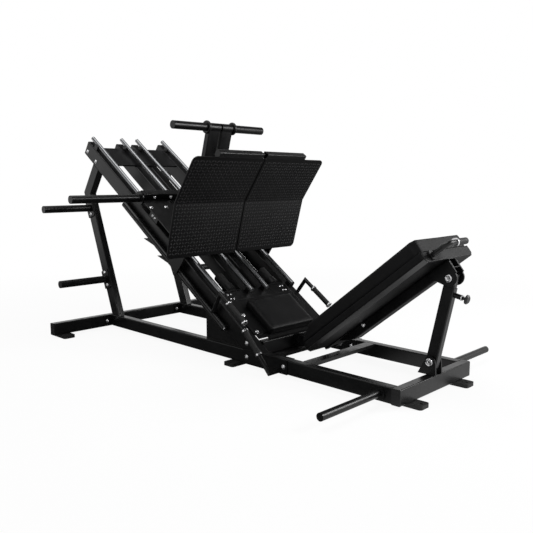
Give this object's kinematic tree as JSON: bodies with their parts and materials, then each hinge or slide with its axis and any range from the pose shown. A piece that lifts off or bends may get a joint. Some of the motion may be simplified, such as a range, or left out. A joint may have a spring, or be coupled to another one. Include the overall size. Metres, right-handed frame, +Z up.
{
  "type": "leg press machine",
  "caption": "Inclined leg press with separate left and right foot-plate carriages on guide rods, weight horns, lock handles and an adjustable backrest.",
  "frame": {"origin": "on the floor under the middle of the machine's bounding box", "axes": "+X from the high end of the rails to the backrest, +Y to the sitter's right, +Z up"},
  "size_m": [2.8664, 1.696, 1.4188],
  "materials": {
    "black_steel": "glossy black powder coat",
    "rod_steel": "ground steel",
    "bright_steel": "bright plated steel",
    "rubber": "matte black rubber",
    "vinyl": "black upholstery vinyl",
    "black_plastic": "black moulded plastic",
    "tread_plate": "black coated tread plate"
  },
  "bodies": {
    "frame": {"rear_cross_tube": "black_steel", "base_rear_tubes": "black_steel", "base_front_tubes": "black_steel", "front_cross_tube": "black_steel", "base_cross_ties": "black_steel", "frame_plates": "black_steel", "floor_feet": "rubber", "left_rear_upright": "black_steel", "right_rear_upright": "black_steel", "left_rail": "black_steel", "right_rail": "black_steel", "top_cross_plate": "black_steel", "center_rails": "black_steel", "lower_cross_tube": "black_steel", "guide_rods": "rod_steel", "rod_saddles": "black_steel", "bumper_brackets": "black_steel", "rubber_bumpers": "rubber", "storage_horns": "black_steel", "side_pegs": "black_steel", "tube_end_caps": "black_plastic", "seat_frame": "black_steel", "seat_pad": "vinyl", "pivot_brackets": "black_steel", "hinge_pins": "bright_steel", "lock_tube_lugs": "black_steel", "grab_handles": "black_steel", "grab_handle_grips": "rubber", "grab_handle_collars": "bright_steel", "frame_bolts": "bright_steel"},
    "left_carriage": {"left_carriage_deck": "black_steel", "left_bearing_blocks": "black_steel", "left_linear_bushings": "rod_steel", "left_weight_post": "black_steel", "left_side_horn": "black_steel", "left_foot_plate_stay": "black_steel", "left_foot_plate": "tread_plate"},
    "right_carriage": {"right_carriage_deck": "black_steel", "right_bearing_blocks": "black_steel", "right_linear_bushings": "rod_steel", "right_weight_post": "black_steel", "right_side_horn": "black_steel", "right_foot_plate_stay": "black_steel", "right_foot_plate": "tread_plate"},
    "backrest": {"backrest_frame": "black_steel", "backrest_board": "vinyl", "backrest_pad": "vinyl", "strut_head_clevis": "black_steel", "strut_head_pin": "bright_steel", "adjust_handle": "black_steel", "adjust_grip": "rubber", "adjust_collar": "bright_steel"},
    "strut": {"strut_outer_tube": "black_steel", "pop_pin_housing": "black_steel"},
    "strut_slider": {"strut_inner_tube": "black_steel"},
    "pop_pin": {"pop_pin": "black_plastic"},
    "left_lock": {"left_lock_tube": "black_steel", "left_lock_grip": "rubber"},
    "right_lock": {"right_lock_tube": "black_steel", "right_lock_grip": "rubber"}
  },
  "joints": [
    {"name": "left_carriage_slide", "type": "slide", "parent": "frame", "child": "left_carriage", "axis": [-0.8192, 0, 0.5736], "range_m": [0, 0.6]},
    {"name": "right_carriage_slide", "type": "slide", "parent": "frame", "child": "right_carriage", "axis": [-0.8192, 0, 0.5736], "range_m": [0, 0.6]},
    {"name": "backrest_tilt", "type": "hinge", "parent": "frame", "child": "backrest", "pos_m": [0.58945, 0, 0.13889], "axis": [0, -1, 0], "range_deg": [0, 9]},
    {"name": "strut_swing", "type": "hinge", "parent": "frame", "child": "strut", "pos_m": [1.2519, 0, 0.165], "axis": [0, -1, 0], "range_deg": [0, 12]},
    {"name": "strut_extend", "type": "slide", "parent": "strut", "child": "strut_slider", "axis": [0.2033, 0, 0.9791], "range_m": [0, 0.106]},
    {"name": "pop_pin_pull", "type": "slide", "parent": "strut", "child": "pop_pin", "axis": [0.9791, 0, -0.2033], "range_m": [0, 0.012], "stiffness_N_per_m": 400, "springref_m": -0.005},
    {"name": "left_lock_turn", "type": "hinge", "parent": "frame", "child": "left_lock", "pos_m": [-0.62024, -0.354, 0.71102], "axis": [0.8192, 0, -0.5736], "range_deg": [0, 40]},
    {"name": "right_lock_turn", "type": "hinge", "parent": "frame", "child": "right_lock", "pos_m": [-0.62024, 0.354, 0.71102], "axis": [-0.8192, 0, 0.5736], "range_deg": [0, 40]}
  ],
  "couplings": [
    {"joint": "strut_swing", "follows": "backrest_tilt", "ratio": 1.225},
    {"joint": "strut_extend", "follows": "backrest_tilt", "m_per_rad": 0.652}
  ]
}
